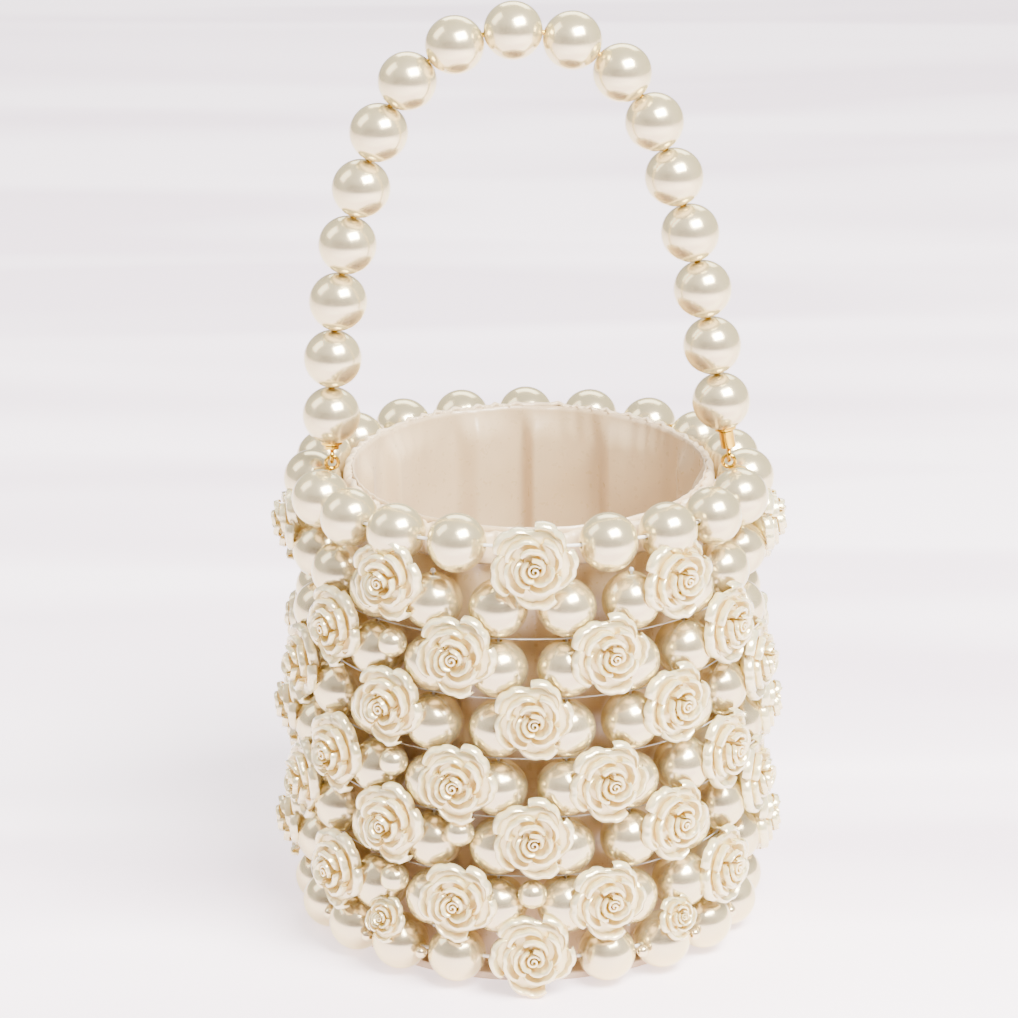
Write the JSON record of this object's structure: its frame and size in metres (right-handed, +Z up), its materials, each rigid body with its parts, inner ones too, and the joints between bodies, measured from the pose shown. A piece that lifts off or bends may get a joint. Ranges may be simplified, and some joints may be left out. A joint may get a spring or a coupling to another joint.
{
  "type": "flower girl basket",
  "caption": "Small round basket of strung pearl beads and rose beads with a gathered satin lining and a tall pearl handle that swings on two clasps.",
  "frame": {"origin": "centre of the resting face under the base disc", "axes": "+Z up, the handle stands parallel to the XZ plane and swings about a line along X, and the front of the basket faces -Y"},
  "size_m": [0.1236, 0.124, 0.2318],
  "materials": {
    "pearl": "ivory imitation pearl, glossy with a soft nacre sheen",
    "rose_bead": "ivory moulded, glossy, slightly translucent",
    "seed_bead": "small glossy ivory beads",
    "gold_metal": "bright gold-coloured plating",
    "stringing_cord": "smooth ivory beading cord",
    "nylon_line": "translucent nylon line",
    "base_board": "stiff board covered in beige cloth",
    "satin": "champagne satin with a soft sheen",
    "hem": "folded and gathered cream satin"
  },
  "bodies": {
    "basket": {"base_disc": "base_board", "bottom_cord": "stringing_cord", "bottom_pearls": "pearl", "bottom_rose": "rose_bead", "clasp_left": "gold_metal", "clasp_pin_left": "gold_metal", "clasp_pin_right": "gold_metal", "clasp_right": "gold_metal", "cord_crimps": "gold_metal", "lining_floor": "satin", "lining_hem": "hem", "lining_wall": "satin", "rim_cord": "stringing_cord", "rim_pearls": "pearl", "rim_rose": "rose_bead", "seed_beads": "seed_bead", "side_roses": "rose_bead", "small_pearls": "pearl", "small_roses": "rose_bead", "wall_pearls_row_1": "pearl", "wall_pearls_row_2": "pearl", "wall_pearls_row_3": "pearl", "wall_pearls_row_4": "pearl", "wall_pearls_row_5": "pearl", "wall_pearls_row_6": "pearl", "wall_roses_row_1": "rose_bead", "wall_roses_row_2": "rose_bead", "wall_roses_row_3": "rose_bead", "wall_roses_row_4": "rose_bead", "wall_roses_row_5": "rose_bead", "wall_roses_row_6": "rose_bead", "wall_rounds": "nylon_line", "wall_strands": "nylon_line"},
    "handle": {"bead_caps": "gold_metal", "end_crimps": "gold_metal", "handle_pearls": "pearl", "handle_wire": "gold_metal"},
    "lever_left": {"clasp_lever_left": "gold_metal"},
    "lever_right": {"clasp_lever_right": "gold_metal"}
  },
  "joints": [
    {"name": "handle_swing", "type": "hinge", "parent": "basket", "child": "handle", "pos_m": [0, -0.0074, 0.1204], "axis": [1, 0, 0], "range_deg": [-55, 55]},
    {"name": "clasp_lever_left_open", "type": "hinge", "parent": "basket", "child": "lever_left", "pos_m": [-0.04863, -0.00754, 0.11605], "axis": [-0.1501, 0.9887, 0], "range_deg": [0, 24], "stiffness_Nm_per_rad": 0.004},
    {"name": "clasp_lever_right_open", "type": "hinge", "parent": "basket", "child": "lever_right", "pos_m": [0.04881, -0.00751, 0.11622], "axis": [-0.1667, -0.986, 0], "range_deg": [0, 24], "stiffness_Nm_per_rad": 0.004}
  ]
}
